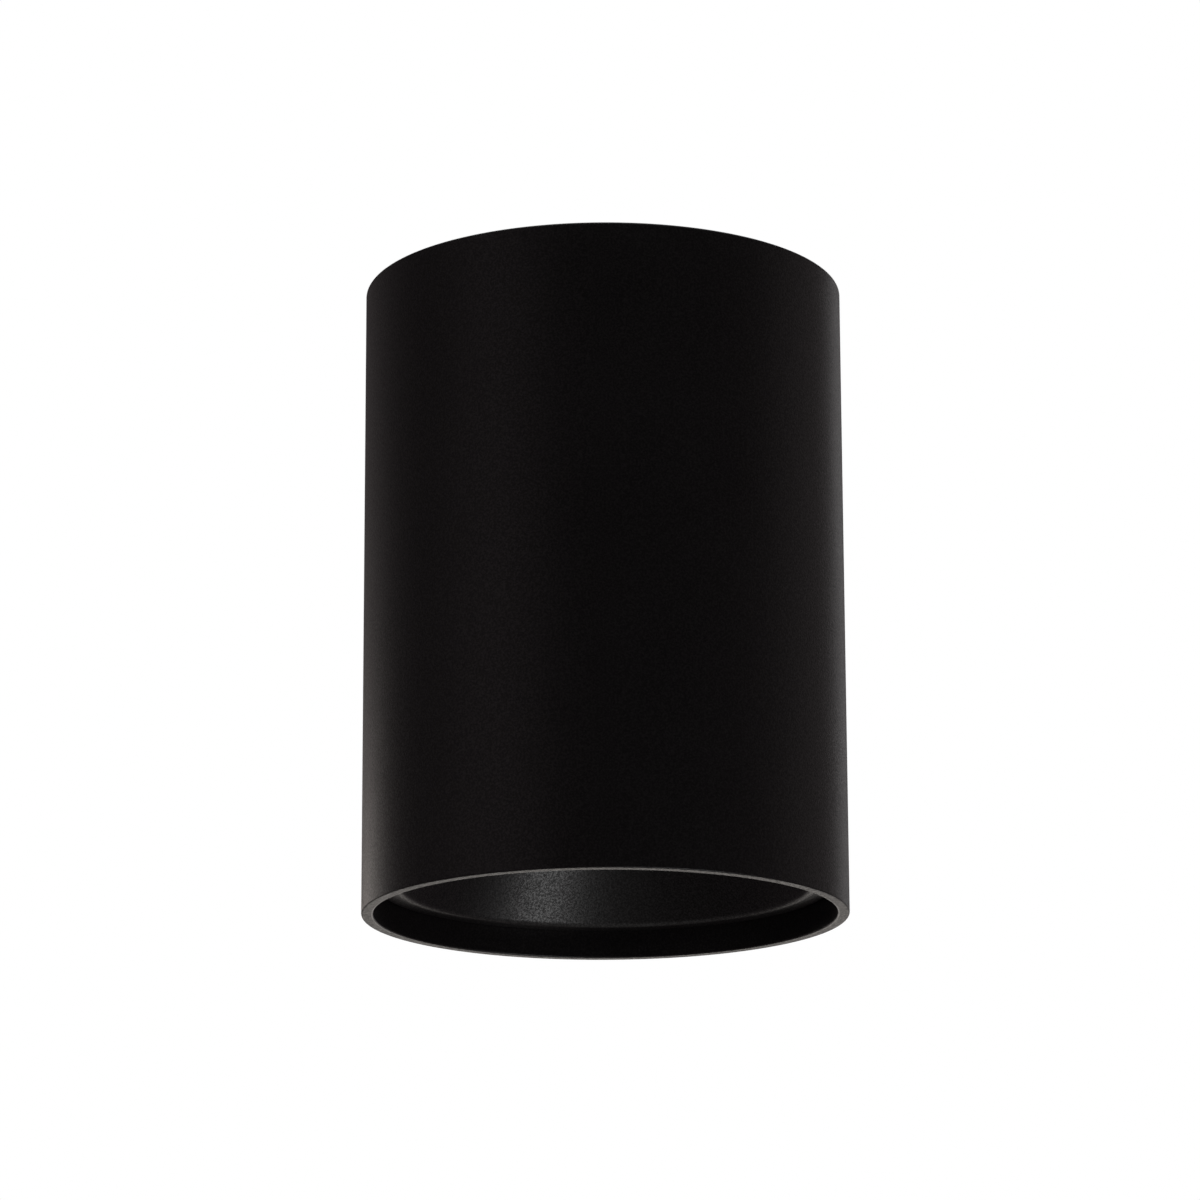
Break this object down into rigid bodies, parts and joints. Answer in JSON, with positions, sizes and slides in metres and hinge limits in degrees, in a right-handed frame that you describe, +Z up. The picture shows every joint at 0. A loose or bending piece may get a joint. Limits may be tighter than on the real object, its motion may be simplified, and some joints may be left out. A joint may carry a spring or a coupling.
{
  "type": "surface-mounted downlight",
  "caption": "Cylindrical ceiling downlight whose deep anti-glare cone hides the lens; it hangs by keyholes on a ceiling bracket and comes off by a short twist.",
  "frame": {"origin": "centre of the bracket's face on the ceiling, midway between the two ceiling screws", "axes": "+Z up into the ceiling along the housing's axis; the ceiling screws stand on the Y axis; the lamp hangs along -Z"},
  "size_m": [0.09, 0.09, 0.12],
  "materials": {
    "zinc_steel": "satin",
    "black_powder_coat": "matte",
    "black_rubber": "matte",
    "black_nylon": "satin",
    "ivory_nylon": "matte",
    "brass": "satin",
    "tinned_brass": "satin",
    "white_plastic": "matte",
    "green_board": "satin",
    "grey_nylon": "matte",
    "ferrite": "matte",
    "can_aluminium": "satin",
    "copper_wire": "satin",
    "plain_aluminium": "satin",
    "thermal_silicone": "matte",
    "white_aluminium": "satin",
    "phosphor": "matte",
    "polished_aluminium": "polished",
    "frosted_plastic": "satin",
    "blue_insulation": "satin",
    "brown_insulation": "satin",
    "green_yellow_insulation": "satin",
    "black_insulation": "satin",
    "red_insulation": "satin"
  },
  "bodies": {
    "ceiling_base": {"ceiling_bracket": "zinc_steel", "bayonet_studs": "zinc_steel", "cable_grommet": "black_rubber"},
    "luminaire": {"top_plate": "zinc_steel", "post_screws": "zinc_steel", "driver_screws": "zinc_steel", "baffle_screws": "zinc_steel", "holder_screws": "zinc_steel", "terminal_fixing_screws": "zinc_steel", "terminal_screws": "zinc_steel", "earth_washer": "zinc_steel", "earth_screw": "zinc_steel", "housing_tube": "black_powder_coat", "anti_glare_baffle": "black_powder_coat", "plate_bush": "black_nylon", "terminal_block": "ivory_nylon", "terminal_cages": "brass", "earth_tag": "tinned_brass", "driver_case": "white_plastic", "driver_lid": "white_plastic", "led_holder": "white_plastic", "driver_board": "green_board", "driver_connectors": "grey_nylon", "driver_transformer": "ferrite", "driver_capacitors": "can_aluminium", "driver_coil": "copper_wire", "spacer_posts": "plain_aluminium", "heat_sink": "plain_aluminium", "thermal_pad": "thermal_silicone", "led_board": "white_aluminium", "led_phosphor": "phosphor", "inner_reflector": "polished_aluminium", "lens": "frosted_plastic", "neutral_lead": "blue_insulation", "live_lead": "brown_insulation", "earth_lead": "green_yellow_insulation", "led_negative_lead": "black_insulation", "led_positive_lead": "red_insulation"}
  },
  "joints": [
    {"name": "twist_lock", "type": "hinge", "parent": "ceiling_base", "child": "luminaire", "pos_m": [0, 0, 0], "axis": [0, 0, -1], "range_deg": [0, 20]}
  ]
}
